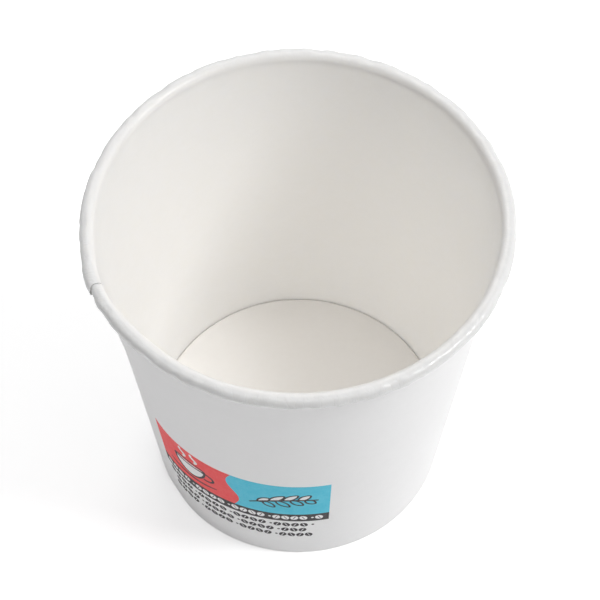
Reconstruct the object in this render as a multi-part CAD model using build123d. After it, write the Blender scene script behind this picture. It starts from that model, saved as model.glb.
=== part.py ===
from build123d import *
import os
from math import acos, asin, atan2, copysign, cos, degrees, hypot, radians, sin, tan
from typing import NamedTuple

# A small paper coffee cup, in millimetres.
# One paperboard blank is wrapped into a cone and glued where its ends overlap. Its top is rolled outward
# into a hollow rim, and its lower edge is turned inward and up. The second piece is a round bottom of thinner
# board, whose turned-down skirt is gripped between the wall and the turned-up hem.
# The origin is in the middle of the ring that the cup stands on, and +Z is up.

# The whole cup
rim_diameter = 62.0
foot_diameter = 46.0
cup_height = 60.0

# The board
wall_board = 0.33
bottom_board = 0.30

# The rolled rim
roll_diameter = 2.25
roll_gap = 0.04         # between the end of the roll and the board that it closes on

# The foot
glue_line = 0.03        # on each side of the bottom's skirt
hem_gap = 0.10          # from the hem's cut edge up to where the bottom starts to bend
skirt_gap = 0.15        # from the skirt's cut edge down to the fold

# The bottom
floor_height = 3.7      # top of the floor above the table
floor_bend = 0.30       # inside the bend from floor to skirt

# The glued overlap of the wall
lap_direction = 204.0   # degrees from +X, where the inner end of the blank stops
lap_width = 6.0         # along the rim
lap_lead = 5.0          # along the rim, where the outer end comes down from the overlap

# What follows from these
rim_radius = rim_diameter / 2
roll_radius = roll_diameter / 2
roll_middle = Vector(rim_radius - roll_radius, cup_height - roll_radius)
grip = bottom_board + 2 * glue_line


class Run(NamedTuple):
    """A straight stretch of board."""
    length: float


class Bend(NamedTuple):
    """A bent stretch of board: the radius of its reference face, and its turn in degrees, left positive."""
    radius: float
    turn: float


def crease(turn):
    """A fold to the left with no radius on its inside."""
    return Bend(0.0, turn)


# A folded board, walked along its section
def board_face(start, heading, steps, offset):
    """One face of the board, edge by edge. It lies to the right of the reference face by the offset."""
    way = Vector(1, 0).rotate(Axis.Z, heading)
    place = start + way.rotate(Axis.Z, -90) * offset
    edges = []
    for step in steps:
        if isinstance(step, Run):
            edges.append(Line(place, place + way * step.length))
            place = edges[-1] @ 1
            continue
        radius = step.radius + copysign(offset, step.turn)
        if radius > 0:
            edges.append(JernArc(place, way, radius, step.turn))
            place = edges[-1] @ 1
        way = way.rotate(Axis.Z, step.turn)
    return edges


def board_section(start, heading, steps, thickness, offset=0.0):
    """The section of a board, with its radius to the right and its height upward."""
    near = board_face(start, heading, steps, offset)
    far = board_face(start, heading, steps, offset + thickness)
    cut_edges = [Line(near[0] @ 0, far[0] @ 0), Line(near[-1] @ 1, far[-1] @ 1)]
    return Plane.XZ * make_face(near + far + cut_edges)


def turned(section, direction):
    """A section, turned from +X to a direction in degrees."""
    return Rot(0, 0, direction) * section


# The slope of the wall, whose outside meets the foot's diameter and whose inside runs on into the roll
def wall_slope():
    """The wall's angle from upright, in degrees."""
    across = roll_middle.X - foot_diameter / 2
    reach = hypot(across, roll_middle.Y)
    return degrees(atan2(across, roll_middle.Y) - asin((roll_radius - wall_board) / reach))


slope = wall_slope()
lean = cos(radians(slope))


def on_wall(height, inward=0.0):
    """The point at a height on a line that lies inward from the wall's inside face by a distance."""
    radius_at_table = foot_diameter / 2 - (wall_board + inward) / lean
    return Vector(radius_at_table + height * tan(radians(slope)), height)


def up_wall(point):
    """How far a point lies up the wall's own slope."""
    return point.X * sin(radians(slope)) + point.Y * lean


# The side wall
def closed_roll(radius):
    """The rim's roll, one whole turn that narrows so that its end lies inside, against the wall."""
    narrowing = (wall_board + roll_gap) / (1 + lean)
    return [Bend(radius, slope - 180), Bend(radius - narrowing, -180 - slope)]


def open_roll():
    """The roll where two boards lie in it: it stops just short of the doubled wall."""
    clearance = 2 * wall_board + roll_gap
    return [Bend(roll_radius, degrees(acos(1 - clearance / roll_radius)) - 360)]


def wall_section(roll, outward=0.0):
    """The wall from the hem's cut edge, round the fold that the cup stands on, and up into the roll.

    The wall stands further out than its place by the last value, while its hem stays.
    """
    hem_start = on_wall(floor_height - bottom_board - floor_bend - hem_gap, grip)
    inner_crease = on_wall(wall_board, grip)
    outer_crease = on_wall(wall_board, -outward)
    steps = [
        Run(up_wall(hem_start) - up_wall(inner_crease)),
        crease(90 + slope),
        Run(outer_crease.X - inner_crease.X),
        crease(90 - slope),
        Run(up_wall(roll_middle) - up_wall(outer_crease)),
    ]
    return board_section(hem_start, -90 - slope, steps + roll, wall_board)


def outer_lap_section():
    """The second board of the overlap, trimmed beside the fold, which turns inside the first one's roll."""
    start = on_wall(wall_board / 2)
    steps = [Run(up_wall(roll_middle) - up_wall(start))]
    return board_section(start, 90 - slope, steps + open_roll(), wall_board, offset=wall_board)


def side_wall():
    """One board most of the way round, two in the overlap, and the lead that comes down from it."""
    lap_angle = degrees(lap_width / rim_radius)
    lead_angle = degrees(lap_lead / rim_radius)
    lead_end = lap_direction + lead_angle
    single = wall_section(closed_roll(roll_radius))
    around = revolve(turned(single, lead_end), Axis.Z, 360 - lap_angle - lead_angle)
    doubled = wall_section(open_roll()) + outer_lap_section()
    overlap = revolve(turned(doubled, lap_direction - lap_angle), Axis.Z, lap_angle)
    pushed_out = wall_section(closed_roll(roll_radius - wall_board), outward=wall_board)
    lead = loft([turned(pushed_out, lap_direction), turned(single, lead_end)], ruled=True)
    return around + overlap + lead


# The bottom
def bottom_disc():
    """The round bottom: a flat floor, with a skirt turned down along the inside of the wall."""
    outside_bend = floor_bend + bottom_board
    bend_middle = on_wall(floor_height - outside_bend, glue_line + outside_bend)
    skirt_end = on_wall(wall_board + skirt_gap, glue_line)
    steps = [
        Run(bend_middle.X),
        Bend(outside_bend, -90 - slope),
        Run(up_wall(bend_middle) - up_wall(skirt_end)),
    ]
    section = board_section(Vector(0, floor_height), 0, steps, bottom_board)
    return revolve(section, Axis.Z, 360)


pieces = {
    "side_wall": side_wall(),
    "bottom_disc": bottom_disc(),
}

os.makedirs("parts", exist_ok=True)
for name, piece in pieces.items():
    piece.label = name
    export_step(piece, f"parts/{name}.step")
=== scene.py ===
"""A small paper coffee cup: a wrapped wall with a rolled rim, a pressed-in bottom and a printed block."""
import logging
from dataclasses import dataclass
from enum import Enum
from math import asin, atan2, ceil, cos, degrees, exp, hypot, pi, radians, sin, tan
from typing import Callable, NamedTuple, Sequence

import bmesh
import bpy
from mathutils import Matrix, Vector, noise


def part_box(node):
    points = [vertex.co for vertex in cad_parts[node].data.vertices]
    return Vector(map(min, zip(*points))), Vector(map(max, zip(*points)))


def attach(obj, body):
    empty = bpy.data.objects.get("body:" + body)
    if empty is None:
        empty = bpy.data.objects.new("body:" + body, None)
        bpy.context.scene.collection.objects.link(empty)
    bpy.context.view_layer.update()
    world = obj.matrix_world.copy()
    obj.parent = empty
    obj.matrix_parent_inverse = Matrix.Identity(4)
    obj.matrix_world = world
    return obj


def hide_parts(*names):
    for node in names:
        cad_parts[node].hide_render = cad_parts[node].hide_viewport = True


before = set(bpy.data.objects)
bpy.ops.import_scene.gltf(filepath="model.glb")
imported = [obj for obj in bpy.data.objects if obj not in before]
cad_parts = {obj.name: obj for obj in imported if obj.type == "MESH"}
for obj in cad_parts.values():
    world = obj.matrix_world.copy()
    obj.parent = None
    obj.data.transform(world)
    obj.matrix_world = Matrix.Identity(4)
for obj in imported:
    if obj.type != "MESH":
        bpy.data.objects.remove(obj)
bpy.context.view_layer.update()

MM = 0.001
log = logging.getLogger("cup")

Colour = tuple[float, float, float]
Triple = tuple[float, float, float]
Point = tuple[float, float]
Pair = tuple[float, float]
Curve = Callable[[float], Point]
Patch = Callable[[float, float], Point]
Grid = list[list[Vector]]
Ring = tuple[int, ...]
Material = bpy.types.Material
Socket = bpy.types.NodeSocket
Outputs = bpy.types.NodeOutputs
Inputs = dict[str | int, object]


class Face(Enum):
    """The surfaces that a piece of board shows, in the order of its material slots."""
    COATED = 0
    PLAIN = 1
    CUT = 2


class Part(Enum):
    """The stretches of a section: the wall's, from its hem up to the roll, and the bottom's."""
    HEM = "hem"
    FOLD = "fold"
    WALL = "wall"
    ROLL = "roll"
    FLOOR = "floor"
    SKIRT = "skirt"


class Ink(Enum):
    """The colours of the printed block."""
    RED = "red"
    CYAN = "cyan"
    DARK = "dark"
    BARE = "bare"


Skin = tuple[list[Vector], list[Ring], list[Face]]


# Shapes and blends

def ease(value: float, low: float, high: float) -> float:
    """A smooth step from 0 at the low value to 1 at the high one."""
    t = min(max((value - low) / (high - low), 0.0), 1.0)
    return t * t * (3 - 2 * t)


def mix(a: float, b: float, share: float) -> float:
    """The value at a share of the way from a to b."""
    return a + (b - a) * share


def hill(angle: float, centre: float, width: float) -> float:
    """A bell curve round a circle.

    Args:
        angle: where to read it, in degrees.
        centre: the direction of its top, in degrees.
        width: its standard deviation, in degrees.

    Returns:
        The height there, 1 at the top.
    """
    apart = (angle - centre + 180) % 360 - 180
    return exp(-apart * apart / (2 * width * width))


def at(direction: float, radius: float, height: float) -> Vector:
    """The point at a direction in degrees, a radius and a height."""
    around = radians(direction)
    return Vector((cos(around) * radius, sin(around) * radius, height))


def wrinkle(direction: float, height: float, turns: float, rise: float, apart: float = 0.0) -> float:
    """A smooth noise that closes round the cup.

    Args:
        direction: degrees from +X.
        height: metres above the table.
        turns: how fast it changes round the cup, per radian.
        rise: how fast it changes with the height, per metre.
        apart: a shift that makes it another noise.

    Returns:
        A value about 0, mostly between -0.5 and 0.5.
    """
    around = radians(direction)
    return noise.noise(Vector((cos(around) * turns + apart, sin(around) * turns, height * rise)))


def closed_sheet(near: Grid, far: Grid, shown: Callable[[int, int], bool] | None = None,
                 wrap: bool = False) -> Skin:
    """A closed skin round two matching grids of points.

    Args:
        near: points of one face, column by column.
        far: the matching points of the other face.
        shown: whether the cell that starts at a column and a row is there; by default all are.
        wrap: whether the last column joins the first.

    Returns:
        The points, the faces as indices into them, and the surface that each face belongs to.
    """
    columns, rows = len(near), len(near[0])
    across = range(columns if wrap else columns - 1)
    cells = {(i, j) for i in across for j in range(rows - 1) if shown is None or shown(i, j)}
    places: list[Vector] = []
    index: dict[tuple[int, int, int], int] = {}

    def corner(layer: int, i: int, j: int) -> int:
        """The index of a grid point, which is added when it is first used.

        Args:
            layer: 0 for the near face, 1 for the far one.
            i: the column.
            j: the row.

        Returns:
            The point's index in the skin.
        """
        key = (layer, i % columns, j)
        if key not in index:
            index[key] = len(places)
            places.append((near, far)[layer][i % columns][j])
        return index[key]

    faces: list[Ring] = []
    kinds: list[Face] = []
    for i, j in sorted(cells):
        ring = ((i, j), (i + 1, j), (i + 1, j + 1), (i, j + 1))
        faces.append(tuple(corner(0, *p) for p in ring))
        faces.append(tuple(corner(1, *p) for p in reversed(ring)))
        kinds += [Face.COATED, Face.PLAIN]
        beside = ((i, j - 1), (i + 1, j), (i, j + 1), (i - 1, j))
        for (ni, nj), a, b in zip(beside, ring, ring[1:] + ring[:1]):
            if (ni % columns if wrap else ni, nj) not in cells:
                faces.append((corner(0, *b), corner(0, *a), corner(1, *a), corner(1, *b)))
                kinds.append(Face.CUT)
    return places, faces, kinds


def mesh_piece(name: str, places: Sequence[Vector], faces: Sequence[Ring], kinds: Sequence[Face],
               materials: Sequence[Material]) -> bpy.types.Object:
    """A piece made of one smooth-shaded mesh.

    Args:
        name: the piece's name.
        places: its points, in metres.
        faces: its faces, as indices into the points.
        kinds: the surface that each face belongs to.
        materials: the finish of each surface, in the order of Face, or one finish for all.

    Returns:
        The new object, at the origin.
    """
    weld = 0.0001 * MM
    sharp = 50.0
    mesh = bpy.data.meshes.new(name)
    mesh.from_pydata([tuple(p) for p in places], [], list(faces))
    for material in materials:
        mesh.materials.append(material)
    if len(materials) > 1:
        mesh.polygons.foreach_set("material_index", [kind.value for kind in kinds])
    skin = bmesh.new()
    skin.from_mesh(mesh)
    bmesh.ops.remove_doubles(skin, verts=skin.verts, dist=weld)
    bmesh.ops.recalc_face_normals(skin, faces=skin.faces)
    skin.to_mesh(mesh)
    skin.free()
    mesh.polygons.foreach_set("use_smooth", [True] * len(mesh.polygons))
    mesh.set_sharp_from_angle(angle=radians(sharp))
    piece = bpy.data.objects.new(name, mesh)
    bpy.context.scene.collection.objects.link(piece)
    return piece


# Materials

class Tree:
    """A node tree under construction."""

    def __init__(self, tree: bpy.types.NodeTree) -> None:
        """Keeps the tree and clears it."""
        self.tree = tree
        tree.nodes.clear()

    def put(self, socket: Socket, value: object) -> None:
        """Links an output to an input, or sets the input to a value.

        Args:
            socket: the input.
            value: an output, or a number or colour.
        """
        if isinstance(value, Socket):
            self.tree.links.new(value, socket)
        else:
            socket.default_value = value

    def node(self, kind: str, inputs: Inputs | None = None, **settings: object) -> bpy.types.Node:
        """Adds a node.

        Args:
            kind: its type's name.
            inputs: a value for a socket, or an output that is linked to it.
            settings: properties of the node.

        Returns:
            The new node.
        """
        made = self.tree.nodes.new(kind)
        for key, value in settings.items():
            setattr(made, key, value)
        for key, value in (inputs or {}).items():
            self.put(made.inputs[key], value)
        return made

    def math(self, operation: str, *values: object) -> Socket:
        """The result of a Math node on values or outputs."""
        return self.node("ShaderNodeMath", dict(enumerate(values)), operation=operation).outputs[0]

    def noise(self, place: Socket, scale: object, detail: float = 3.0) -> Socket:
        """The grey value of a noise at a place."""
        inputs = {"Vector": place, "Scale": scale, "Detail": detail}
        return self.node("ShaderNodeTexNoise", inputs).outputs["Fac"]

    def band(self, value: Socket, low: object, high: object) -> Socket:
        """A value's way from a low to a high one, smoothed and kept between 0 and 1."""
        inputs = {"Value": value, "From Min": low, "From Max": high}
        return self.node("ShaderNodeMapRange", inputs, interpolation_type="SMOOTHSTEP").outputs["Result"]

    def stretch(self, place: Socket, scale: Sequence[float]) -> Socket:
        """A place, scaled along each axis."""
        return self.node("ShaderNodeMapping", {"Vector": place, "Scale": tuple(scale)}).outputs["Vector"]

    def colour(self, share: Socket, low: object, high: object) -> Socket:
        """A mix of two colours.

        Args:
            share: how much of the second colour there is.
            low: the first colour, as a value or an output.
            high: the second colour, as a value or an output.

        Returns:
            The mixed colour.
        """
        made = self.node("ShaderNodeMix", data_type="RGBA")
        self.put(made.inputs[0], share)
        for key, value in ((6, low), (7, high)):
            self.put(made.inputs[key], value if isinstance(value, Socket) else (*value, 1.0))
        return made.outputs[2]


class Effect:
    """A shader node group that several finishes share, built once."""

    name = ""
    takes: dict[str, float] = {}
    gives: tuple[str, ...] = ()

    @classmethod
    def group(cls) -> bpy.types.NodeTree:
        """The node group, which is built when it is first asked for.

        Returns:
            The group's tree, with its named inputs and outputs.
        """
        if cls.name in bpy.data.node_groups:
            return bpy.data.node_groups[cls.name]
        made = bpy.data.node_groups.new(cls.name, "ShaderNodeTree")
        number = "NodeSocketFloat"
        made.interface.new_socket("Place", in_out="INPUT", socket_type="NodeSocketVector")
        for socket, value in cls.takes.items():
            made.interface.new_socket(socket, in_out="INPUT", socket_type=number).default_value = value
        for socket in cls.gives:
            made.interface.new_socket(socket, in_out="OUTPUT", socket_type=number)
        tree = Tree(made)
        values = cls.build(tree, tree.node("NodeGroupInput").outputs)
        tree.node("NodeGroupOutput", dict(zip(cls.gives, values)))
        return made

    @classmethod
    def build(cls, tree: Tree, given: Outputs) -> Sequence[Socket]:
        """Makes the group's nodes and returns what it puts out."""
        raise NotImplementedError

    @classmethod
    def place_in(cls, tree: Tree, place: Socket, **values: float) -> Outputs:
        """Adds the group to a material.

        Args:
            tree: the material's tree.
            place: the coordinates that it reads.
            values: the material's own values for its inputs.

        Returns:
            The outputs of the new node.
        """
        node = tree.node("ShaderNodeGroup", node_tree=cls.group())
        tree.put(node.inputs["Place"], place)
        for socket, value in values.items():
            tree.put(node.inputs[socket], value)
        return node.outputs


class Tooth(Effect):
    """The fine surface of board: fibres that run up and round the cup, and a grainier tooth between them."""

    name = "board tooth"
    takes = {"Fibre": 0.6, "Grain": 0.4}
    gives = ("Height", "Fibres")
    fibre_scale = (2600.0, 2600.0, 420.0)
    cross_scale = (700.0, 700.0, 2300.0)
    fibre_band = (0.42, 0.72)
    grain_scale = 3800.0

    @classmethod
    def build(cls, tree: Tree, given: Outputs) -> Sequence[Socket]:
        """Two stretched noises for the fibres and a round one for the grain.

        Args:
            tree: the group's tree.
            given: the place, and the shares of fibre and grain.

        Returns:
            The relief, and a mask of the fibres.
        """
        up = tree.noise(tree.stretch(given["Place"], cls.fibre_scale), scale=1.0, detail=2.0)
        across = tree.noise(tree.stretch(given["Place"], cls.cross_scale), scale=1.0, detail=2.0)
        fibres = tree.band(tree.math("MAXIMUM", up, across), *cls.fibre_band)
        grain = tree.noise(given["Place"], cls.grain_scale, detail=2.0)
        height = tree.math("ADD", tree.math("MULTIPLY", fibres, given["Fibre"]),
                           tree.math("MULTIPLY", grain, given["Grain"]))
        return height, fibres


class Cloud(Effect):
    """The cloudy look of board held to the light, at two sizes, the wider one in millimetres."""

    name = "board formation"
    takes = {"Size": 3.0, "Contrast": 1.0}
    gives = ("Mask",)
    wide_share = 0.6
    narrow_times = 4.0
    band = (0.25, 0.75)

    @classmethod
    def build(cls, tree: Tree, given: Outputs) -> Sequence[Socket]:
        """A wide and a narrow noise, centred on a half.

        Args:
            tree: the group's tree.
            given: the place, the size and the contrast.

        Returns:
            A mask from 0 in the thin places to 1 in the thick ones.
        """
        scale = tree.math("DIVIDE", 1 / MM, given["Size"])
        wide = tree.noise(given["Place"], scale, detail=2.0)
        finer = tree.math("MULTIPLY", scale, cls.narrow_times)
        narrow = tree.noise(given["Place"], finer, detail=4.0)
        both = tree.math("ADD", tree.math("MULTIPLY", wide, cls.wide_share),
                         tree.math("MULTIPLY", narrow, 1 - cls.wide_share))
        spread = tree.math("MULTIPLY_ADD", tree.math("SUBTRACT", both, 0.5), given["Contrast"], 0.5)
        return (tree.band(spread, *cls.band),)


class WearAndFootShade(Effect):
    """Wear of a stacked and handled cup at the rim's crest, and painted shade with wear in a band along the
    foot.
    """

    name = "wear and foot shade"
    takes = {"Foot": 1.2 * MM, "Crest": 59.4 * MM, "Top": 60.0 * MM, "Patchiness": 0.6}
    gives = ("Foot wear and shade", "Crest wear")
    patch_scale = 900.0

    @classmethod
    def build(cls, tree: Tree, given: Outputs) -> Sequence[Socket]:
        """Two bands of height, broken up by a noise.

        Args:
            tree: the group's tree.
            given: the place, the two heights and how broken the wear is.

        Returns:
            The mask of the painted shade and wear at the foot, and that of the wear on the crest.
        """
        height = tree.node("ShaderNodeSeparateXYZ", {0: given["Place"]}).outputs["Z"]
        patches = tree.noise(given["Place"], cls.patch_scale, detail=4.0)
        broken = tree.math("SUBTRACT", 1.0, tree.math("MULTIPLY", patches, given["Patchiness"]))
        # painted shade and wear: a band that darkens the board from the table up to the Foot height, where
        # shade falls at the foot
        foot = tree.math("SUBTRACT", 1.0, tree.band(height, 0.0, given["Foot"]))
        crest = tree.band(height, given["Crest"], given["Top"])
        return tree.math("MULTIPLY", foot, broken), tree.math("MULTIPLY", crest, broken)


class Rolled(Effect):
    """Where the inside of the board is rolled over the rim, from its place on the cup."""

    name = "rolled rim"
    takes = {"Wall end": 28.9 * MM, "Height": 59.1 * MM, "Softness": 1.2 * MM}
    gives = ("Mask", "Creases")
    creases_round = 30.0
    creases_across = 500.0
    crease_width = 0.06

    @classmethod
    def build(cls, tree: Tree, given: Outputs) -> Sequence[Socket]:
        """The larger of two soft steps, outward and upward, and creases that run across the roll.

        Args:
            tree: the group's tree.
            given: the place, where the steps begin and how soft they are.

        Returns:
            The mask of the rolled part, and its creases, 0 along each line.
        """
        parts = tree.node("ShaderNodeSeparateXYZ", {0: given["Place"]}).outputs
        flat = tree.node("ShaderNodeCombineXYZ", {"X": parts["X"], "Y": parts["Y"]}).outputs[0]
        radius = tree.node("ShaderNodeVectorMath", {0: flat}, operation="LENGTH").outputs["Value"]
        out = tree.band(radius, given["Wall end"], tree.math("ADD", given["Wall end"], given["Softness"]))
        up = tree.band(parts["Z"], given["Height"], tree.math("ADD", given["Height"], given["Softness"]))
        mask = tree.math("MAXIMUM", out, up)
        around = tree.math("ARCTAN2", parts["Y"], parts["X"])
        unrolled = tree.node("ShaderNodeCombineXYZ", {
            "X": tree.math("MULTIPLY", around, cls.creases_round),
            "Y": tree.math("MULTIPLY", parts["Z"], cls.creases_across),
            "Z": tree.math("MULTIPLY", radius, cls.creases_across),
        }).outputs[0]
        lines = tree.noise(unrolled, scale=1.0, detail=2.0)
        ridges = tree.math("ABSOLUTE", tree.math("SUBTRACT", lines, 0.5))
        return mask, tree.math("MULTIPLY", tree.band(ridges, 0.0, cls.crease_width), mask)


class Finish:
    """What the finishes share: a Principled shader that reads the cup's own coordinates."""

    def start(self, name: str) -> tuple[Material, Tree, Socket]:
        """Begins a material.

        Args:
            name: the material's name.

        Returns:
            The material, its tree and the coordinates that its patterns read.
        """
        material = bpy.data.materials.new(name)
        material.use_nodes = True
        tree = Tree(material.node_tree)
        return material, tree, tree.node("ShaderNodeTexCoord").outputs["Object"]

    def shade(self, tree: Tree, colour: Socket, roughness: Socket, height: Socket, depth: float,
              others: Inputs) -> None:
        """Adds the shader and the output.

        Args:
            tree: the material's tree.
            colour: the base colour.
            roughness: the roughness.
            height: the relief, from 0 to 1.
            depth: the height of a relief of 1, in metres.
            others: what the shader's other sockets get.
        """
        bump = tree.node("ShaderNodeBump", {"Height": height, "Distance": depth, "Strength": 1.0})
        inputs = {"Base Color": colour, "Roughness": roughness, "Normal": bump.outputs["Normal"], **others}
        shader = tree.node("ShaderNodeBsdfPrincipled", inputs)
        tree.node("ShaderNodeOutputMaterial", {"Surface": shader.outputs["BSDF"]})


@dataclass(frozen=True)
class BoardFinish(Finish):
    """A face of white cup board, coated or plain, with light that passes through it."""

    name: str
    white: Colour
    shadow: Colour
    # the colour of wear at the crest, and of painted shade with wear along the foot
    worn_and_shaded: Colour
    roughness: float
    fibre: float
    grain: float
    relief: float
    cloud_size: float
    gloss: float
    glow: float
    glow_depth: float
    through: Colour = (1.0, 1.0, 1.0)
    fibre_roughness: float = 0.10
    cloud_relief: float = 0.6
    wear_and_shade_share: float = 0.5
    crest_wear: float = 0.12

    def dressed(self, tree: Tree, place: Socket, cloud: Socket) -> tuple[Socket, Inputs, Socket | None]:
        """The colour of the board before its wear and painted shade, what else the shader gets, and a further
        relief: here neither.
        """
        return tree.colour(cloud, self.shadow, self.white), {}, None

    def material(self) -> Material:
        """Makes the board's material, with its formation, tooth, wear at the crest, and painted shade with
        wear along the foot.

        Returns:
            The new material.
        """
        material, tree, place = self.start(self.name)
        cloud = Cloud.place_in(tree, place, Size=self.cloud_size)["Mask"]
        tooth = Tooth.place_in(tree, place, Fibre=self.fibre, Grain=self.grain)
        wear = WearAndFootShade.place_in(tree, place)
        before_wear_and_shade, more, relief = self.dressed(tree, place, cloud)
        crest = tree.math("MULTIPLY", wear["Crest wear"], self.crest_wear)
        # painted shade and wear: the board is mixed towards the darker wear colour in the band along the
        # foot, and a little at the rim's crest for wear alone
        marks = tree.math("MULTIPLY", tree.math("MAXIMUM", wear["Foot wear and shade"], crest), self.wear_and_shade_share)
        colour = tree.colour(marks, before_wear_and_shade, self.worn_and_shaded)
        rough = tree.math("MULTIPLY_ADD", tooth["Fibres"], self.fibre_roughness,
                          self.roughness - self.fibre_roughness / 2)
        height = tree.math("ADD", tooth["Height"], tree.math("MULTIPLY", cloud, self.cloud_relief))
        if relief is not None:
            height = tree.math("ADD", height, relief)
        self.shade(tree, colour, rough, height, self.relief, {
            "Specular IOR Level": self.gloss, "Subsurface Weight": self.glow,
            "Subsurface Scale": self.glow_depth, "Subsurface Radius": self.through, **more,
        })
        return material


@dataclass(frozen=True)
class RolledFinish(BoardFinish):
    """The coated face, which is shinier and creased where it is rolled over the rim, and painted greyer there
    as shade that dims the rim's lit top.
    """

    # painted shade: the rolled board gets a greyer colour than the same coated board on the flat, which dims
    # the rim's lit top
    rolled: Colour = (0.752, 0.750, 0.744)
    rolled_depth: float = 0.012     # how much darker it is in the board's thin places
    coat: float = 0.45
    coat_roughness: float = 0.10
    crease_relief: float = 2.5

    def dressed(self, tree: Tree, place: Socket, cloud: Socket) -> tuple[Socket, Inputs, Socket | None]:
        """The colours of the flat board and of the rolled board, which is painted greyer as shade, with the
        shine and the creases of the roll.

        Args:
            tree: the material's tree.
            place: the coordinates.
            cloud: the mask of the board's formation.

        Returns:
            The colour, what the shader's coat gets, and the relief of the creases.
        """
        rim = Rolled.place_in(tree, place)
        darker = tuple(value - self.rolled_depth for value in self.rolled)
        flat = tree.colour(cloud, self.shadow, self.white)
        # painted shade: the rolled part of the coated face takes the greyer rolled colour
        colour = tree.colour(rim["Mask"], flat, tree.colour(cloud, darker, self.rolled))
        coat = tree.math("MULTIPLY", rim["Mask"], self.coat)
        creases = tree.math("MULTIPLY", rim["Creases"], self.crease_relief)
        return colour, {"Coat Weight": coat, "Coat Roughness": self.coat_roughness}, creases


@dataclass(frozen=True)
class CutFinish(Finish):
    """The cut edge of the board, where its layers show, in colours darkened with painted shade that stands
    for the shadow along the seam's groove and the lap's edge.
    """

    name: str
    shaded_core: Colour
    shaded_lining: Colour
    relief: float
    layer_scale: Triple = (9000.0, 9000.0, 900.0)
    layer_band: Pair = (0.35, 0.65)
    tooth: float = 0.9
    roughness: float = 0.75
    layer_roughness: float = 0.2
    gloss: float = 0.2

    def material(self) -> Material:
        """Makes a warmer, fibrous edge with the layers of the board along it, darkened with painted shade.

        Returns:
            The new material.
        """
        material, tree, place = self.start(self.name)
        layers = tree.noise(tree.stretch(place, self.layer_scale), scale=1.0)
        tooth = Tooth.place_in(tree, place, Fibre=self.tooth, Grain=self.tooth)
        colour = tree.colour(tree.band(layers, *self.layer_band), self.shaded_core, self.shaded_lining)
        rough = tree.math("MULTIPLY_ADD", layers, self.layer_roughness, self.roughness)
        self.shade(tree, colour, rough, tooth["Height"], self.relief, {"Specular IOR Level": self.gloss})
        return material


@dataclass(frozen=True)
class InkFinish(Finish):
    """Ink on board: a thin film that follows its fibres and leaves pinholes of white."""

    name: str
    full: Colour
    thin: Colour
    pinholes: float = 0.10
    paper: Colour = (0.84, 0.84, 0.85)
    cloud_size: float = 1.6
    tooth: float = 0.5
    speck_scale: float = 5200.0
    speck_band: Pair = (0.66, 0.74)
    roughness: float = 0.56
    fibre_roughness: float = 0.12
    relief: float = 0.006 * MM
    gloss: float = 0.15

    def material(self) -> Material:
        """Makes the ink's material.

        Returns:
            The new material.
        """
        material, tree, place = self.start(self.name)
        cloud = Cloud.place_in(tree, place, Size=self.cloud_size)["Mask"]
        tooth = Tooth.place_in(tree, place, Fibre=self.tooth, Grain=self.tooth)
        specks = tree.band(tree.noise(place, self.speck_scale, detail=2.0), *self.speck_band)
        bare = tree.math("MULTIPLY", specks, self.pinholes)
        colour = tree.colour(bare, tree.colour(cloud, self.thin, self.full), self.paper)
        rough = tree.math("MULTIPLY_ADD", tooth["Fibres"], self.fibre_roughness, self.roughness)
        self.shade(tree, colour, rough, tooth["Height"], self.relief, {"Specular IOR Level": self.gloss})
        return material


OUTSIDE = BoardFinish(
    "plain outer board", white=(0.955, 0.947, 0.951), shadow=(0.937, 0.929, 0.934), worn_and_shaded=(0.76, 0.75, 0.73),
    roughness=0.62, fibre=0.6, grain=0.4, relief=0.010 * MM, cloud_size=4.0, gloss=0.25,
    glow=0.7, glow_depth=0.14 * MM)
INSIDE = RolledFinish(
    "coated inner board", white=(0.990, 0.958, 0.915), shadow=(0.974, 0.941, 0.895), worn_and_shaded=(0.82, 0.80, 0.77),
    roughness=0.46, fibre=0.3, grain=0.2, relief=0.008 * MM, cloud_size=2.4, gloss=0.4,
    glow=1.0, glow_depth=0.50 * MM, through=(1.0, 0.98, 0.94))
FLOOR = BoardFinish(
    "coated bottom board", white=(0.978, 0.971, 0.954), shadow=(0.962, 0.954, 0.934), worn_and_shaded=(0.82, 0.80, 0.77),
    roughness=0.46, fibre=0.4, grain=0.3, relief=0.010 * MM, cloud_size=2.8, gloss=0.4,
    glow=0.3, glow_depth=0.3 * MM)
# painted shade: the cut edge's grey core and lining are much darker than raw board, to stand for the shadow
# in the seam's groove and under the lap's edge
SHADED_EDGE = CutFinish("cut board edge with painted shade", shaded_core=(0.46, 0.455, 0.445), shaded_lining=(0.64, 0.635, 0.62), relief=0.02 * MM)
INKS = {
    Ink.RED: InkFinish("red ink", full=(0.93, 0.10, 0.105), thin=(0.95, 0.135, 0.14)),
    Ink.CYAN: InkFinish("cyan ink", full=(0.10, 0.60, 0.79), thin=(0.14, 0.65, 0.83)),
    Ink.DARK: InkFinish("dark ink", full=(0.042, 0.038, 0.041), thin=(0.066, 0.060, 0.063)),
    Ink.BARE: InkFinish("bare board in the print", full=OUTSIDE.white, thin=OUTSIDE.shadow, pinholes=0.0),
}


# The cup

class Station(NamedTuple):
    """A place on the board's coated face in its upright section, with the way through the board."""
    radius: float
    height: float
    across: Point
    part: Part


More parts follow.
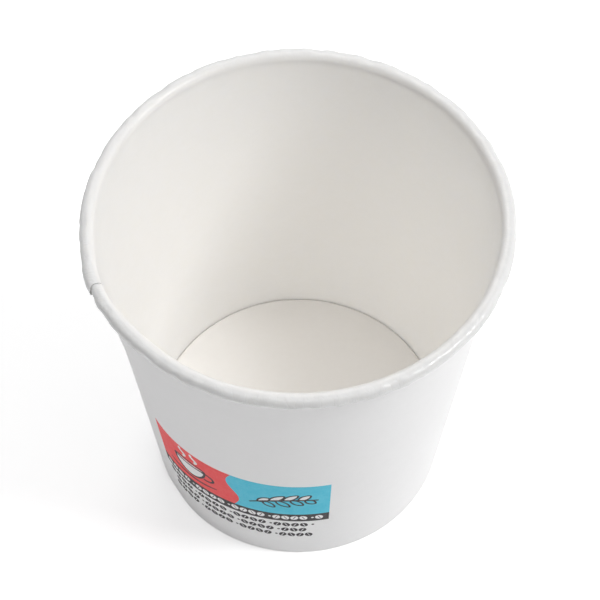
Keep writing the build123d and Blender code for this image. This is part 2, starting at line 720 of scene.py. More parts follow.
@dataclass
class Cup:
    """The sizes that the cup's pieces share, in metres, and its small dents. Directions are in degrees."""

    rim_radius: float
    height: float
    floor_height: float
    foot_radius: float = 23.0 * MM
    board: float = 0.33 * MM
    bottom_board: float = 0.30 * MM
    roll_radius: float = 1.125 * MM
    roll_gap: float = 0.04 * MM
    glue_line: float = 0.03 * MM
    hem_gap: float = 0.10 * MM
    skirt_gap: float = 0.15 * MM
    floor_bend: float = 0.30 * MM
    seam_direction: float = 203.4
    seam_slant: float = 1.0
    seam_bulge: float = 0.60 * MM
    seam_bulge_width: float = 8.5
    lap_direction: float = 201.0
    lap_depth: float = 0.40 * MM
    lap_dent_width: float = 10.0
    lap_dent_end: Pair = (38.0 * MM, 57.0 * MM)     # heights between which the dent runs out
    back_direction: float = 149.0
    back_depth: float = 0.28 * MM
    back_width: float = 17.0
    foot_draw: float = 0.05 * MM
    foot_draw_end: float = 30.0 * MM
    rim_draw: float = 0.05 * MM
    uneven: float = 0.05 * MM
    uneven_turns: float = 1.6       # how fast it changes round the cup, and below up the wall
    uneven_rise: float = 30.0
    uneven_start: Pair = (4.0 * MM, 20.0 * MM)

    @classmethod
    def from_frame(cls) -> "Cup":
        """Reads the cup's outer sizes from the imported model.

        Returns:
            The cup with those sizes.
        """
        wall_low, wall_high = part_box("side_wall")
        floor_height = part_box("bottom_disc")[1][2]
        return cls((wall_high[0] - wall_low[0]) / 2, wall_high[2], floor_height)

    @property
    def roll_middle(self) -> Point:
        """The middle of the rim's roll, as radius and height."""
        return self.rim_radius - self.roll_radius, self.height - self.roll_radius

    @property
    def slope(self) -> float:
        """The wall's angle from upright.

        Returns:
            The angle in radians, for a wall whose inside runs on into the roll.
        """
        radius, height = self.roll_middle
        across = radius - self.foot_radius
        return atan2(across, height) - asin((self.roll_radius - self.board) / hypot(across, height))

    def on_wall(self, height: float, inward: float = 0.0) -> Point:
        """The point at a height on a line that lies inward from the wall's coated face by a distance."""
        at_table = self.foot_radius - (self.board + inward) / cos(self.slope)
        return at_table + height * tan(self.slope), height

    def up_wall(self, point: Point) -> float:
        """How far a point lies up the wall's own slope."""
        return point[0] * sin(self.slope) + point[1] * cos(self.slope)

    def give(self, direction: float, height: float) -> float:
        """How far the wall stands out of round.

        Args:
            direction: degrees from +X.
            height: metres above the table.

        Returns:
            The distance outward, in metres: out at the rim's seam, in beside the lap and at the back.
        """
        rise = ease(height, 0.0, self.height)
        out = self.seam_bulge * hill(direction, self.seam_direction, self.seam_bulge_width) * rise ** 4
        back = self.back_depth * hill(direction, self.back_direction, self.back_width) * rise ** 2
        lap = self.lap_depth * hill(direction, self.lap_direction, self.lap_dent_width)
        lap *= 1 - ease(height, *self.lap_dent_end)
        drawn = self.foot_draw * (1 - ease(height, 0.0, self.foot_draw_end)) + self.rim_draw * rise
        uneven = wrinkle(direction, height, self.uneven_turns, self.uneven_rise) * self.uneven
        return out - back - lap - drawn + uneven * ease(height, *self.uneven_start)


class Walk:
    """A walk along the board's coated face, which notes a station at each step."""

    def __init__(self, start: Point, heading: float) -> None:
        """Starts at a point.

        Args:
            start: its radius and height.
            heading: the way to go, in radians from outward.
        """
        self.place = start
        self.heading = heading
        self.stations: list[Station] = []

    def note(self, part: Part) -> None:
        """Notes the present place."""
        across = (sin(self.heading), -cos(self.heading))
        self.stations.append(Station(*self.place, across, part))

    def run(self, length: float, steps: int, part: Part) -> None:
        """Goes straight on.

        Args:
            length: how far, in metres.
            steps: in how many steps.
            part: the stretch of the section that this is.
        """
        step = length / steps
        for _ in range(steps):
            radius, height = self.place
            self.place = (radius + cos(self.heading) * step, height + sin(self.heading) * step)
            self.note(part)

    def bend(self, radius: float, turn: float, steps: int, part: Part) -> None:
        """Goes along an arc.

        Args:
            radius: its radius, in metres.
            turn: its turn in radians, left positive.
            steps: in how many steps.
            part: the stretch of the section that this is.
        """
        reach = radius if turn > 0 else -radius
        middle = (self.place[0] - sin(self.heading) * reach, self.place[1] + cos(self.heading) * reach)
        for _ in range(steps):
            self.heading += turn / steps
            self.place = (middle[0] + sin(self.heading) * reach, middle[1] - cos(self.heading) * reach)
            self.note(part)


class Crimps(NamedTuple):
    """Small dents of one size: how fast they change round and up the roll, a shift, and how deep they are."""
    turns: float
    rise: float
    apart: float
    weight: float


@dataclass
class SideWall:
    """The wrapped blank: one board nearly all the way round, two in the lap, rolled above and folded below.

    A turn is an angle in degrees from the blank's inner end, clockwise seen from above.
    """

    cup: Cup
    columns_per_turn: int = 400
    hem_steps: int = 6
    crease_steps: int = 5
    wall_steps: int = 46
    first_half_steps: int = 16
    second_half_steps: int = 12
    lap_width: float = 6.0 * MM
    lap_lead: float = 5.0 * MM
    lap_gap: float = 0.008 * MM
    crease_radius: float = 0.02 * MM
    hem_end: float = 0.45       # how far short of a whole turn the hem stops, in degrees
    nest_turn: float = 3.5      # over how many degrees the roll's second half tightens at the lap
    rib_columns: int = 4
    rib_depth: float = 0.07 * MM
    rib_height: float = 1.7 * MM
    rib_reach: Pair = (0.8 * MM, 1.3 * MM)
    squareness: float = 2.5
    groove_turns: Pair = (359.86, 359.97)
    roll_bottom: float = -90.0
    pressed_outside: float = 0.35
    pressed_angles: Pair = (12.0, 72.0)
    pressed_share: float = 0.85
    closed_angles: Pair = (40.0, 88.0)
    closed_share: float = 0.97
    closed_below_rim: Pair = (10.0 * MM, 2.0 * MM)
    slant_angles: Pair = (0.0, 85.0)
    slant_below_rim: Pair = (12.0 * MM, 2.0 * MM)
    crimp_depth: float = 0.16 * MM
    crimp_mean: float = 0.35
    crimp_band: Pair = (-0.5, 0.3)      # from the roll's middle, in shares of its radius
    crimps: tuple[Crimps, ...] = (Crimps(34.0, 900.0, 0.0, 0.7), Crimps(13.0, 500.0, 40.0, 1.7))
    ripple_depth: float = 0.04 * MM
    ripple_turns: float = 2.6
    ripple_rise: float = 420.0
    ripple_start: Pair = (-0.5 * MM, 0.6 * MM)
    ripple_end: Pair = (2.0 * MM, 9.0 * MM)

    @property
    def lap_turn(self) -> float:
        """The lap's width in degrees."""
        return degrees(self.lap_width / self.cup.rim_radius)

    @property
    def lead_turn(self) -> float:
        """The lead's width in degrees."""
        return degrees(self.lap_lead / self.cup.rim_radius)

    @property
    def whole_turn(self) -> float:
        """How far the blank goes round, in degrees."""
        return 360.0 + self.lap_turn

    def outward(self, turn: float) -> float:
        """How far the board stands out from the inner layer, at a turn."""
        share = min(max((turn - 360.0 + self.lead_turn) / self.lead_turn, 0.0), 1.0)
        return share * (self.cup.board + self.lap_gap)

    def roll_radii(self, turn: float) -> Pair:
        """The radii of the roll's two halves at a turn.

        Args:
            turn: degrees from the blank's inner end.

        Returns:
            The radius of the first half, and the tighter one of the second, whose end lies against the wall.
        """
        cup = self.cup
        first = cup.roll_radius - self.outward(turn)
        lean = cos(cup.slope)
        single = (cup.board + cup.roll_gap) / (1 + lean)
        double = (2 * cup.board + self.lap_gap + cup.roll_gap) / (1 + lean)
        after = 1 - ease(turn, self.lap_turn, self.lap_turn + self.nest_turn)
        before = ease(turn, 360.0 - self.nest_turn, 360.0)
        return first, first - mix(single, double, max(after, before))

    def section(self, turn: float) -> list[Station]:
        """The board's section at a turn.

        Args:
            turn: degrees from the blank's inner end.

        Returns:
            The stations from the hem's cut edge to the end of the roll.
        """
        cup = self.cup
        slope, bend = cup.slope, self.crease_radius
        inner_turn, outer_turn = pi / 2 + slope, pi / 2 - slope
        grip = cup.bottom_board + 2 * cup.glue_line
        hem_top = cup.on_wall(cup.floor_height - cup.bottom_board - cup.floor_bend - cup.hem_gap, grip)
        inner_crease = cup.on_wall(cup.board, grip)
        outer_crease = cup.on_wall(cup.board, -self.outward(turn))
        first, second = self.roll_radii(turn)
        inner_cut, outer_cut = bend * tan(inner_turn / 2), bend * tan(outer_turn / 2)
        hem_length = cup.up_wall(hem_top) - cup.up_wall(inner_crease) - inner_cut
        wall_length = cup.up_wall(cup.roll_middle) - cup.up_wall(outer_crease) - outer_cut
        walk = Walk(hem_top, -pi / 2 - slope)
        walk.note(Part.HEM)
        walk.run(hem_length, self.hem_steps, Part.HEM)
        walk.bend(bend, inner_turn, self.crease_steps, Part.FOLD)
        walk.run(outer_crease[0] - inner_crease[0] - inner_cut - outer_cut, 1, Part.FOLD)
        walk.bend(bend, outer_turn, self.crease_steps, Part.FOLD)
        walk.run(wall_length, self.wall_steps, Part.WALL)
        walk.bend(first, slope - pi, self.first_half_steps, Part.ROLL)
        walk.bend(second, -pi - slope, self.second_half_steps, Part.ROLL)
        return walk.stations

    def roll_angle(self, station: Station) -> float:
        """How far round the roll a station lies, in degrees: -90 at its bottom, 0 outside and 90 on top."""
        middle = self.cup.roll_middle
        return degrees(atan2(station.height - middle[1], station.radius - middle[0]))

    def near_rim(self, station: Station, below: Pair) -> float:
        """How near a station of the wall is to the rim, from 0 to 1 between two depths below it."""
        return ease(station.height, self.cup.height - below[0], self.cup.height - below[1])

    def pressed(self, turn: float, station: Station) -> float:
        """How far the rolling has pressed the lead back up to the level of the inner layer beside it.

        Args:
            turn: degrees from the blank's inner end.
            station: the place in the section.

        Returns:
            The lift, in metres, largest on top of the rim, with a narrow groove left along the cut edge.
        """
        if station.part in (Part.HEM, Part.FOLD):
            return 0.0
        if station.part is Part.WALL:
            top = closed = self.near_rim(station, self.closed_below_rim)
        else:
            angle = self.roll_angle(station)
            raised = mix(self.pressed_outside, 1.0, ease(angle, *self.pressed_angles))
            top = raised if angle > self.roll_bottom else 0.0
            closed = ease(angle, *self.closed_angles)
        share = mix(self.pressed_share, self.closed_share, closed) * (1 - ease(turn, *self.groove_turns))
        return share * top * self.outward(turn)

    def slant(self, station: Station) -> float:
        """How far the blank is turned at a station, since its ends are cut at a slant.

        Args:
            station: the place in the section.

        Returns:
            The turn in degrees, clockwise seen from above.
        """
        if station.part in (Part.HEM, Part.FOLD):
            return 0.0
        if station.part is Part.WALL:
            return self.cup.seam_slant * self.near_rim(station, self.slant_below_rim)
        angle = self.roll_angle(station)
        return self.cup.seam_slant * (ease(angle, *self.slant_angles) if angle > self.roll_bottom else 1.0)

    def squared(self, station: Station) -> float:
        """How much further from the roll's middle its outer half stands than a round one.

        Args:
            station: the place in the section.

        Returns:
            The factor, 1 where the roll is round.
        """
        middle = self.cup.roll_middle
        out, up = station.radius - middle[0], station.height - middle[1]
        if out <= 0.0:
            return 1.0
        reach, power = hypot(out, up), self.squareness
        return ((out / reach) ** power + (abs(up) / reach) ** power) ** (-1 / power)

    def ripple(self, direction: float, height: float) -> float:
        """Faint level wrinkles that the rolling leaves in the wall below the rim.

        Args:
            direction: degrees from +X.
            height: metres above the table.

        Returns:
            The distance outward, in metres.
        """
        below = self.cup.height - 2 * self.cup.roll_radius - height
        fade = ease(below, *self.ripple_start) * (1 - ease(below, *self.ripple_end))
        return wrinkle(direction, height, self.ripple_turns, self.ripple_rise) * self.ripple_depth * fade

    def crimp(self, direction: float, height: float, radius: float) -> float:
        """How far the roll is pressed in at a place, by small uneven crimps.

        Args:
            direction: degrees from +X.
            height: metres above the table.
            radius: metres from the cup's axis.

        Returns:
            The depth, in metres.
        """
        from_middle = (radius - self.cup.roll_middle[0]) / self.cup.roll_radius
        deep = self.crimp_mean
        for dents in self.crimps:
            deep += dents.weight * wrinkle(direction, height, dents.turns, dents.rise, dents.apart)
        return self.crimp_depth * ease(from_middle, *self.crimp_band) * min(max(deep, 0.0), 1.0)

    def outside(self, direction: float, height: float, lift: float = 0.0) -> Vector:
        """The point on the wall's plain face.

        Args:
            direction: degrees from +X.
            height: metres above the table.
            lift: how far off the face, in metres.

        Returns:
            The point.
        """
        radius = self.cup.on_wall(height, -self.cup.board - lift)[0]
        radius += self.cup.give(direction, height) + self.ripple(direction, height)
        return at(direction, radius, height)

    def column(self, turn: float, knurl: float) -> tuple[list[Vector], list[Vector]]:
        """The points of one column.

        Args:
            turn: degrees from the blank's inner end.
            knurl: how deep the hem is pressed there, from 0 to 1.

        Returns:
            The points on the coated face and on the plain face.
        """
        cup = self.cup
        coated, plain = [], []
        for station in self.section(turn):
            direction = cup.seam_direction - turn - self.slant(station)
            radius, height = station.radius, station.height
            thickness, press = cup.board, 0.0
            shift = cup.give(direction, height)
            if station.part is Part.WALL:
                shift += self.ripple(direction, height)
            elif station.part is Part.ROLL:
                wider = self.squared(station)
                radius, height = (mix(m, p, wider) for m, p in zip(cup.roll_middle, (radius, height)))
                press = self.crimp(direction, height, radius)
            press -= self.pressed(turn, station)
            radius += station.across[0] * press
            height += station.across[1] * press
            if station.part is Part.HEM:
                rib = 1 - ease(abs(height - self.rib_height), *self.rib_reach)
                thickness -= self.rib_depth * knurl * rib
            for points, depth in ((coated, 0.0), (plain, thickness)):
                out = radius + shift + station.across[0] * depth
                points.append(at(direction, out, height + station.across[1] * depth))
        return coated, plain

    def build(self, finishes: Sequence[Material]) -> bpy.types.Object:
        """Makes the wall as one closed skin.

        Args:
            finishes: the material of each surface, in the order of Face.

        Returns:
            The wall.
        """
        step = 360.0 / self.columns_per_turn
        count = ceil(self.whole_turn / step)
        even = [min(index * step, self.whole_turn) for index in range(count + 1)]
        turns = sorted(even + list(self.groove_turns))
        near: Grid = []
        far: Grid = []
        for turn in turns:
            knurl = 0.5 - 0.5 * cos(2 * pi * turn / (step * self.rib_columns))
            coated, plain = self.column(turn, knurl)
            near.append(coated)
            far.append(plain)
        foot_rows = self.hem_steps + 2 * self.crease_steps + 1

        def shown(i: int, j: int) -> bool:
            """The outer layer of the lap has no hem and no fold."""
            return turns[i + 1] < 360.0 - self.hem_end or j >= foot_rows

        piece = mesh_piece("wrapped_wall", *closed_sheet(near, far, shown), finishes)
        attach(piece, "root")
        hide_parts("side_wall")
        return piece


@dataclass
class Bottom:
    """The round bottom: a floor with a skirt turned down along the wall."""

    cup: Cup
    columns: int = 288
    floor_steps: int = 22
    bend_steps: int = 9
    skirt_steps: int = 8
    dish: float = 0.10 * MM
    dish_end: float = 0.94
    dish_wave: float = 0.4
    wave_scale: float = 90.0
    wave_layer: float = 3.0

    def section(self) -> list[Station]:
        """The bottom's section.

        Returns:
            The stations from the middle of the floor to the skirt's cut edge.
        """
        cup = self.cup
        outside_bend = cup.floor_bend + cup.bottom_board
        middle = cup.on_wall(cup.floor_height - outside_bend, cup.glue_line + outside_bend)
        skirt_end = cup.on_wall(cup.board + cup.skirt_gap, cup.glue_line)
        walk = Walk((0.0, cup.floor_height), 0.0)
        walk.note(Part.FLOOR)
        walk.run(middle[0], self.floor_steps, Part.FLOOR)
        walk.bend(outside_bend, -pi / 2 - cup.slope, self.bend_steps, Part.FOLD)
        walk.run(cup.up_wall(middle) - cup.up_wall(skirt_end), self.skirt_steps, Part.SKIRT)
        return walk.stations

    def sag(self, place: Vector) -> float:
        """How far the floor lies below its level.

        Args:
            place: a point on the floor.

        Returns:
            The distance, in metres.
        """
        reach = hypot(place.x, place.y) / self.cup.foot_radius
        wave = noise.noise(Vector((place.x * self.wave_scale, place.y * self.wave_scale, self.wave_layer)))
        depth = 1 - self.dish_wave + self.dish_wave * wave
        return self.dish * depth * (1 - ease(reach, 0.0, self.dish_end))

    def column(self, direction: float, depth: float) -> list[Vector]:
        """The points of one column, on a face of the board.

        Args:
            direction: degrees from +X.
            depth: how far below the coated face, in metres.

        Returns:
            The points from the middle to the skirt's edge, which follows the wall's dents.
        """
        stations = self.section()
        edge = max(station.radius for station in stations if station.part is Part.FLOOR)
        points = []
        for station in stations:
            radius = station.radius + station.across[0] * depth
            radius += self.cup.give(direction, station.height) * min(radius / edge, 1.0) ** 2
            place = at(direction, radius, station.height + station.across[1] * depth)
            if station.part is Part.FLOOR:
                place.z -= self.sag(place)
            points.append(place)
        return points

    def build(self, finishes: Sequence[Material]) -> bpy.types.Object:
        """Makes the bottom as one closed skin.

        Args:
            finishes: the material of each surface, in the order of Face.

        Returns:
            The bottom.
        """
        directions = [360.0 * index / self.columns for index in range(self.columns)]
        near, far = ([self.column(direction, depth) for direction in directions]
                     for depth in (0.0, self.cup.bottom_board))
        piece = mesh_piece("pressed_bottom", *closed_sheet(near, far, wrap=True), finishes)
        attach(piece, "root")
        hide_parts("bottom_disc")
        return piece


# The print

def line(a: Point, b: Point) -> Curve:
    """A straight line."""
    return lambda t: (mix(a[0], b[0], t), mix(a[1], b[1], t))


def bow(a: Point, b: Point, c: Point) -> Curve:
    """A curve from a to c that is drawn towards b."""
    return lambda t: tuple((1 - t) ** 2 * p + 2 * t * (1 - t) * q + t * t * r for p, q, r in zip(a, b, c))


def oval(middle: Point, half: Pair, start: float = 0.0, turn: float = 360.0) -> Curve:
    """A stretch of an ellipse, with its start and turn in degrees."""
    return lambda t: tuple(m + h * f(radians(start + turn * t)) for m, h, f in zip(middle, half, (cos, sin)))


def waves(a: Point, rise: float, swing: float, count: float) -> Curve:
    """A wavy line that goes up from a point."""
    return lambda t: (a[0] + swing * sin(2 * pi * count * t), a[1] + rise * t)


def side(area: Patch, share: float) -> Curve:
    """A line along an area, at a share of the way across it."""
    return lambda t: area(t, share)


def between(low: Curve, high: Curve) -> Patch:
    """The area between two curves."""
    return lambda s, t: line(low(s), high(s))(t)


def strip(area: Patch, low: float, high: float) -> Patch:
    """A part of an area, between two shares of the way across it."""
    return lambda s, t: area(s, mix(low, high, t))


def ribbon(curve: Curve, width: float, taper: float = 0.0) -> Patch:
    """A stroke along a curve.

    Args:
        curve: its middle line.
        width: its width.
        taper: how much narrower its ends are, as a share.

    Returns:
        The area.
    """
    step = 0.001

    def place(s: float, t: float) -> Point:
        """The point of the stroke.

        Args:
            s: the share of the way along it.
            t: the share of the way across it.

        Returns:
            The point.
        """
        (u0, v0), (u1, v1) = curve(max(s - step, 0.0)), curve(min(s + step, 1.0))
        length = hypot(u1 - u0, v1 - v0) or 1.0
        half = width * (t - 0.5) * (1 - taper * (2 * s - 1) ** 2)
        u, v = curve(s)
        return u - (v1 - v0) / length * half, v + (u1 - u0) / length * half

    return place


def leaf(tip: Point, base: Point, width: float, fullness: float = 0.7) -> Patch:
    """A pointed oval between two points.

    Args:
        tip: its far end.
        base: its near end.
        width: its greatest width.
        fullness: how its width grows: rounder for a smaller value.

    Returns:
        The area.
    """
    point = 0.02
    length = hypot(tip[0] - base[0], tip[1] - base[1])
    along = ((tip[0] - base[0]) / length, (tip[1] - base[1]) / length)

    def place(s: float, t: float) -> Point:
        """The point of the leaf.

        Args:
            s: the share of the way along it.
            t: the share of the way across it.

        Returns:
            The point.
        """
        half = width * (t - 0.5) * (point + (1 - point) * sin(pi * s) ** fullness)
        far = length * s
        return base[0] + along[0] * far - along[1] * half, base[1] + along[1] * far + along[0] * half

    return place


@dataclass
class Mark:
    """One printed shape: its ink and area, how finely it is divided, and how high the film lies."""
    ink: Ink
    area: Patch
    along: int
    across: int = 1
    layer: int = 1


@dataclass
class SteamingCup:
    """A cup on its saucer, seen from the side, with two curls of steam, in the drawing's millimetres."""

    middle: float
    foot: float
    half_width: float = 2.9
    brim: float = 4.3
    depth: float = 4.0
    roundness: float = 0.45
    outline: float = 0.42
    brim_half_height: float = 0.55
    brim_outline: float = 0.36
    handle: Point = (3.0, 2.7)
    handle_half: Pair = (1.35, 1.15)
    handle_start: float = -110.0
    handle_turn: float = 230.0
    saucer_half: float = 4.7
    saucer_rise: float = 0.1
    saucer_dip: float = 1.5
    saucer_outline: float = 0.5
    steam_offset: float = 1.1
    steam_start: float = 5.5
    steam_rise: float = 2.5
    steam_swing: float = 0.45
    steam_width: float = 0.6

    def bowl(self, t: float) -> Point:
        """The point at a share of the way along the bowl's underside."""
        across = self.middle - self.half_width + 2 * self.half_width * t
        return across, self.foot + self.brim - self.depth * sin(pi * t) ** self.roundness

    def marks(self) -> list[Mark]:
        """The cup's shapes.

        Returns:
            The white bowl, its dark outlines and the white steam.
        """
        u, v = self.middle, self.foot
        rim = line((u - self.half_width, v + self.brim), (u + self.half_width, v + self.brim))
        brim = oval((u, v + self.brim), (self.half_width, self.brim_half_height))
        grip = (u + self.handle[0], v + self.handle[1])
        handle = oval(grip, self.handle_half, self.handle_start, self.handle_turn)
        ends = [(u + way * self.saucer_half, v + self.saucer_rise) for way in (-1, 1)]
        saucer = bow(ends[0], (u, v - self.saucer_dip), ends[1])
        marks = [
            Mark(Ink.BARE, between(self.bowl, rim), along=22, across=6, layer=2),
            Mark(Ink.DARK, ribbon(self.bowl, self.outline), along=40, layer=3),
            Mark(Ink.DARK, ribbon(brim, self.brim_outline), along=40, layer=4),
            Mark(Ink.DARK, ribbon(handle, self.outline), along=24, layer=3),
            Mark(Ink.DARK, ribbon(saucer, self.saucer_outline, taper=0.6), along=30, layer=3),
        ]
        for way in (-1, 1):
            start = (u + way * self.steam_offset, v + self.steam_start)
            curl = waves(start, self.steam_rise, self.steam_swing, count=0.9)
            marks.append(Mark(Ink.BARE, ribbon(curl, self.steam_width, taper=0.3), along=18, layer=2))
        return marks


class SprigLeaf(NamedTuple):
    """A leaf of the sprig: its share of the way along the stem, its side and its length."""
    share: float
    side: int
    length: float


@dataclass
class Sprig:
    """A stem with leaves on both sides, the upper ones left white, in the drawing's millimetres."""

    middle: float
    height: float
    start: Point = (-5.2, -1.6)
    pull: Point = (-0.5, 1.7)
    end: Point = (5.4, 0.9)
    stem_width: float = 0.48
    outline: float = 0.32
    leaf_width: float = 1.25
    leaf_lean: Pair = (0.72, 0.70)
    leaves: tuple[SprigLeaf, ...] = (
        SprigLeaf(0.14, 1, 2.6), SprigLeaf(0.32, 1, 3.3), SprigLeaf(0.53, 1, 3.1),
        SprigLeaf(0.74, 1, 2.5), SprigLeaf(0.22, -1, 2.5), SprigLeaf(0.42, -1, 2.9),
        SprigLeaf(0.63, -1, 2.6), SprigLeaf(0.83, -1, 2.1),
    )

    def marks(self) -> list[Mark]:
        """The sprig's shapes.

        Returns:
            The dark stem and outlines, and the white leaves.
        """
        stem = bow(*((self.middle + u, self.height + v) for u, v in (self.start, self.pull, self.end)))
        marks = [Mark(Ink.DARK, ribbon(stem, self.stem_width, taper=0.4), along=34, layer=4)]
        for one in self.leaves:
            base = stem(one.share)
            reach = (one.length * self.leaf_lean[0], one.side * one.length * self.leaf_lean[1])
            blade = leaf((base[0] + reach[0], base[1] + reach[1]), base, self.leaf_width)
            if one.side > 0:
                marks.append(Mark(Ink.BARE, blade, along=10, across=3, layer=2))
            for edge in (0.0, 1.0):
                marks.append(Mark(Ink.DARK, ribbon(side(blade, edge), self.outline), along=14, layer=3))
        return marks


@dataclass
class BeanRow:
    """A row of small beans, leaning to each side in turn, with a dot after every fourth.

    Its place and the size of a bean are in the drawing's millimetres, and the rest are shares of that size.
    """

    start: float
    end: float
    base: float
    ink: Ink = Ink.DARK
    layer: int = 1
    size: float = 1.45
    lean: float = 0.42
    group: int = 5
    bean_pitch: float = 0.98
    dot_pitch: float = 0.72
    dot_radius: float = 0.16
    half: Pair = (0.5, 0.55)
    plumpness: float = 0.86
    fullness: float = 0.55
    slit: Pair = (0.44, 0.56)

    def dot(self, place: float, middle: float) -> list[Mark]:
        """A dot.

        Args:
            place: where it is along the row.
            middle: its height.

        Returns:
            Its one shape.
        """
        radius = self.size * self.dot_radius
        over = oval((place, middle), (radius, radius), 0, 180)
        under = oval((place, middle), (radius, radius), 0, -180)
        return [Mark(self.ink, between(under, over), along=8, layer=self.layer)]

    def bean(self, place: float, middle: float, lean: float) -> list[Mark]:
        """A bean.

        Args:
            place: where it is along the row.
            middle: its height.
            lean: how far it leans, in radians.

        Returns:
            Its two halves, on both sides of the slit.
        """
        reach = (self.size * self.half[0] * sin(lean), self.size * self.half[1] * cos(lean))
        tip, foot = ((place + way * reach[0], middle + way * reach[1]) for way in (1, -1))
        whole = leaf(tip, foot, self.size * self.plumpness, self.fullness)
        halves = ((0.0, self.slit[0]), (self.slit[1], 1.0))
        return [Mark(self.ink, strip(whole, *half), along=8, across=2, layer=self.layer) for half in halves]

    def marks(self) -> list[Mark]:
        """The row's shapes.

        Returns:
            The beans and dots that fit between its ends.
        """
        marks: list[Mark] = []
        place, count = self.start + self.size / 2, 0
        middle = self.base + self.size * self.half[1]
        while place + self.size / 2 < self.end:
            if count % self.group == self.group - 1:
                marks += self.dot(place, middle)
                place += self.size * self.dot_pitch
            else:
                marks += self.bean(place, middle, self.lean if count % 2 else -self.lean)
                place += self.size * self.bean_pitch
            count += 1
        return marks


@dataclass
class PrintedBlock:
    """Two fields of colour with a cup and a sprig on them, over a dark band and rows of small beans."""

    wall: SideWall
    left: float = 212.6
    right: float = 280.9
    top: float = 27.0 * MM
    field_bottom: float = 16.15 * MM
    band_bottom: float = 13.4 * MM
    first_row: float = 11.15 * MM
    row_pitch: float = 2.05 * MM
    row_margins: tuple[Pair, ...] = ((0.8, 0.9), (2.0, 3.2), (1.6, 2.2))
    band_margins: Pair = (0.7, 0.5)
    band_rise: float = 0.58 * MM
    field_wave: float = 0.9
    cup_share: float = 0.245
    cup_rise: float = 2.3 * MM
    sprig_share: float = 0.76
    sprig_rise: float = 4.6 * MM
    film: float = 0.006 * MM
    sunk: float = 0.02 * MM

    @property
    def mean_radius(self) -> float:
        """The wall's radius at the block's middle height."""
        return self.wall.cup.on_wall((self.top + self.band_bottom) / 2, -self.wall.cup.board)[0]

    @property
    def width(self) -> float:
        """The block's width in its own drawing, in millimetres at its middle height."""
        return radians(self.right - self.left) * self.mean_radius / MM

    def on_cup(self, point: Point, lift: float) -> Vector:
        """A point of the drawing on the wall.

        Args:
            point: millimetres from the block's left end and above the table.
            lift: how far off the wall, in metres.

        Returns:
            The point on the cup.
        """
        direction = self.left + degrees(point[0] * MM / self.mean_radius)
        return self.wall.outside(direction, point[1] * MM, lift)

    def fields(self) -> list[Mark]:
        """The two fields, which meet in a wave, and the band below them.

        Returns:
            Their three shapes.
        """
        low, high, foot = self.field_bottom / MM, self.top / MM, self.band_bottom / MM
        wave = waves((self.width / 2, low), high - low, self.field_wave, count=1.0)
        left, right = (line((u, low), (u, high)) for u in (0.0, self.width))
        under, over = (line((0.0, v), (self.width, v)) for v in (foot, low))
        return [
            Mark(Ink.RED, between(left, wave), along=24, across=26),
            Mark(Ink.CYAN, between(wave, right), along=24, across=26),
            Mark(Ink.DARK, between(under, over), along=52, across=3),
        ]

    def marks(self) -> list[Mark]:
        """Everything that is printed.

        Returns:
            All shapes, in the drawing's millimetres.
        """
        marks = self.fields()
        marks += SteamingCup(self.width * self.cup_share, (self.field_bottom + self.cup_rise) / MM).marks()
        marks += Sprig(self.width * self.sprig_share, (self.field_bottom + self.sprig_rise) / MM).marks()
        start, end = self.band_margins
        base = (self.band_bottom + self.band_rise) / MM
        marks += BeanRow(start, self.width - end, base, Ink.BARE, 2).marks()
        for index, (start, end) in enumerate(self.row_margins):
            base = (self.first_row - index * self.row_pitch) / MM
            marks += BeanRow(start, self.width - end, base).marks()
        return marks

    def film_of(self, mark: Mark) -> Skin:
        """A thin closed film that lies on the wall.

        Args:
            mark: the printed shape.

        Returns:
            The film's points, faces and surfaces.
        """
        columns, rows = range(mark.along + 1), range(mark.across + 1)
        near, far = (
            [[self.on_cup(mark.area(i / mark.along, j / mark.across), lift) for j in rows] for i in columns]
            for lift in (self.film * mark.layer, -self.sunk)
        )
        return closed_sheet(near, far)

    def build(self, finishes: dict[Ink, Material]) -> list[bpy.types.Object]:
        """Makes one piece for each ink.

        Args:
            finishes: the material of each ink.

        Returns:
            The pieces.
        """
        pieces = []
        marks = self.marks()
        for ink in Ink:
            places: list[Vector] = []
            faces: list[Ring] = []
            kinds: list[Face] = []
            for mark in marks:
                if mark.ink is ink:
                    points, rings, surfaces = self.film_of(mark)
                    faces += [tuple(k + len(places) for k in ring) for ring in rings]
                    places += points
                    kinds += surfaces
            piece = mesh_piece(f"print_{ink.value}", places, faces, kinds, [finishes[ink]])
            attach(piece, "root")
            pieces.append(piece)
        return pieces


# The studio

def facing(place: Vector, target: Vector) -> Matrix:
    """The placement of a lamp or camera that looks at a point.

    Args:
        place: where it stands.
        target: what it looks at.

    Returns:
        Its matrix.
    """
    return Matrix.Translation(place) @ (target - place).to_track_quat("-Z", "Y").to_matrix().to_4x4()


class Lamp(NamedTuple):
    """A soft round lamp: its direction in degrees, its size in metres and its power in watts."""
    name: str
    azimuth: float
    elevation: float
    size: float
    power: float


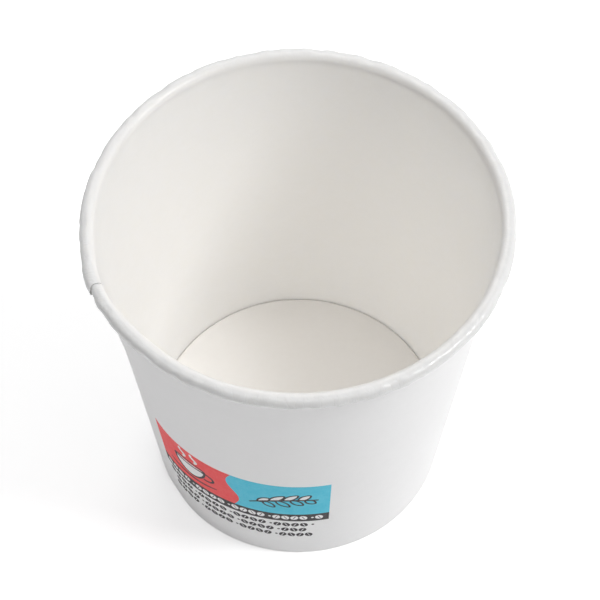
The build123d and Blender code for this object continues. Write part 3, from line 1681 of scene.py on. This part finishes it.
@dataclass
class Studio:
    """The floor, the light and the camera."""

    eye: Triple = (0.0, -174.4 * MM, 304.1 * MM)
    aim: Triple = (0.28 * MM, 0.0, 38.08 * MM)
    focal_pixels: float = 2125.8
    image_pixels: float = 600.0
    sensor: float = 36.0
    roll: float = -0.0009       # radians
    near_clip: float = 10.0 * MM
    floor_size: float = 6.0
    floor_drop: float = 0.05 * MM
    floor_colour: Colour = (0.96, 0.96, 0.96)
    floor_lift: float = 0.42
    ambient: float = 0.322
    ambient_tint: Colour = (1.0, 0.997, 1.0)
    lamp_distance: float = 1.0
    lamp_aim: Triple = (0.0, 0.0, 30.0 * MM)
    lamps: tuple[Lamp, ...] = (
        Lamp("key", -9.0, 52.0, 0.40, 5.4),
        Lamp("overhead", 0.0, 89.9, 0.80, 1.4),
        Lamp("back", 90.0, 45.0, 0.60, 1.9),
    )

    def camera(self) -> bpy.types.Object:
        """Places the camera where the photograph was taken from.

        Returns:
            The camera.
        """
        lens = bpy.data.cameras.new("camera")
        lens.sensor_fit = "HORIZONTAL"
        lens.sensor_width = self.sensor
        lens.lens = self.focal_pixels / self.image_pixels * self.sensor
        lens.clip_start = self.near_clip
        camera = bpy.data.objects.new("camera", lens)
        camera.matrix_world = facing(Vector(self.eye), Vector(self.aim)) @ Matrix.Rotation(self.roll, 4, "Z")
        bpy.context.scene.collection.objects.link(camera)
        bpy.context.scene.camera = camera
        return camera

    def floor(self) -> bpy.types.Object:
        """Makes a pale floor, white to the camera but for the cup's soft shadow.

        Returns:
            The floor.
        """
        half = self.floor_size / 2
        square = ((-1, -1), (1, -1), (1, 1), (-1, 1))
        corners = [Vector((x * half, y * half, -self.floor_drop)) for x, y in square]
        material = bpy.data.materials.new("pale floor")
        material.use_nodes = True
        tree = Tree(material.node_tree)
        path = tree.node("ShaderNodeLightPath")
        seen = tree.math("MAXIMUM", path.outputs["Is Camera Ray"], path.outputs["Is Glossy Ray"])
        matt = tree.node("ShaderNodeBsdfDiffuse", {"Color": (*self.floor_colour, 1.0)})
        lift = tree.math("MULTIPLY", seen, self.floor_lift)
        glow = tree.node("ShaderNodeEmission", {"Color": (1.0, 1.0, 1.0, 1.0), "Strength": lift})
        both = tree.node("ShaderNodeAddShader", {0: matt.outputs[0], 1: glow.outputs[0]})
        tree.node("ShaderNodeOutputMaterial", {"Surface": both.outputs[0]})
        piece = mesh_piece("floor", corners, [(0, 1, 2, 3)], [Face.PLAIN], [material])
        return piece

    def lamp(self, lamp: Lamp) -> bpy.types.Object:
        """Places one lamp, turned towards the cup.

        Args:
            lamp: its direction, size and power.

        Returns:
            The lamp.
        """
        light = bpy.data.lights.new(lamp.name, "AREA")
        light.shape = "DISK"
        light.size = lamp.size
        light.energy = lamp.power
        up = radians(lamp.elevation)
        placed = bpy.data.objects.new(lamp.name, light)
        place = at(lamp.azimuth, cos(up) * self.lamp_distance, sin(up) * self.lamp_distance)
        placed.matrix_world = facing(place, Vector(self.lamp_aim))
        bpy.context.scene.collection.objects.link(placed)
        return placed

    def light(self) -> None:
        """Places the lamps, in a room that looks white."""
        for lamp in self.lamps:
            self.lamp(lamp)
        self.room()
        bpy.context.scene.view_settings.view_transform = "Standard"

    def room(self) -> bpy.types.World:
        """Makes the room, which looks white and gives a softer light than that.

        Returns:
            The world.
        """
        world = bpy.data.worlds.new("room")
        bpy.context.scene.world = world
        world.use_nodes = True
        tree = Tree(world.node_tree)
        path = tree.node("ShaderNodeLightPath")
        glossy = tree.math("MAXIMUM", path.outputs["Is Glossy Ray"], path.outputs["Is Transmission Ray"])
        seen = tree.math("MAXIMUM", path.outputs["Is Camera Ray"], glossy)
        strength = tree.math("MULTIPLY_ADD", seen, 1.0 - self.ambient, self.ambient)
        colour = tree.colour(seen, self.ambient_tint, (1.0, 1.0, 1.0))
        air = tree.node("ShaderNodeBackground", {"Color": colour, "Strength": strength})
        tree.node("ShaderNodeOutputWorld", {"Surface": air.outputs[0]})
        return world


def main() -> None:
    """Builds the studio and the cup's pieces in order, and logs each piece's face count."""
    logging.basicConfig(level=logging.INFO, format="%(name)s: %(message)s")
    studio = Studio()
    studio.camera()
    studio.floor()
    studio.light()
    cup = Cup.from_frame()
    coated, plain, edge = INSIDE.material(), OUTSIDE.material(), SHADED_EDGE.material()
    wall = SideWall(cup)
    pieces = [wall.build((coated, plain, edge)), Bottom(cup).build((FLOOR.material(), plain, edge))]
    pieces += PrintedBlock(wall).build({ink: finish.material() for ink, finish in INKS.items()})
    for piece in pieces:
        log.info("%s: %d faces", piece.name, len(piece.data.polygons))


if __name__ == "__main__":
    main()
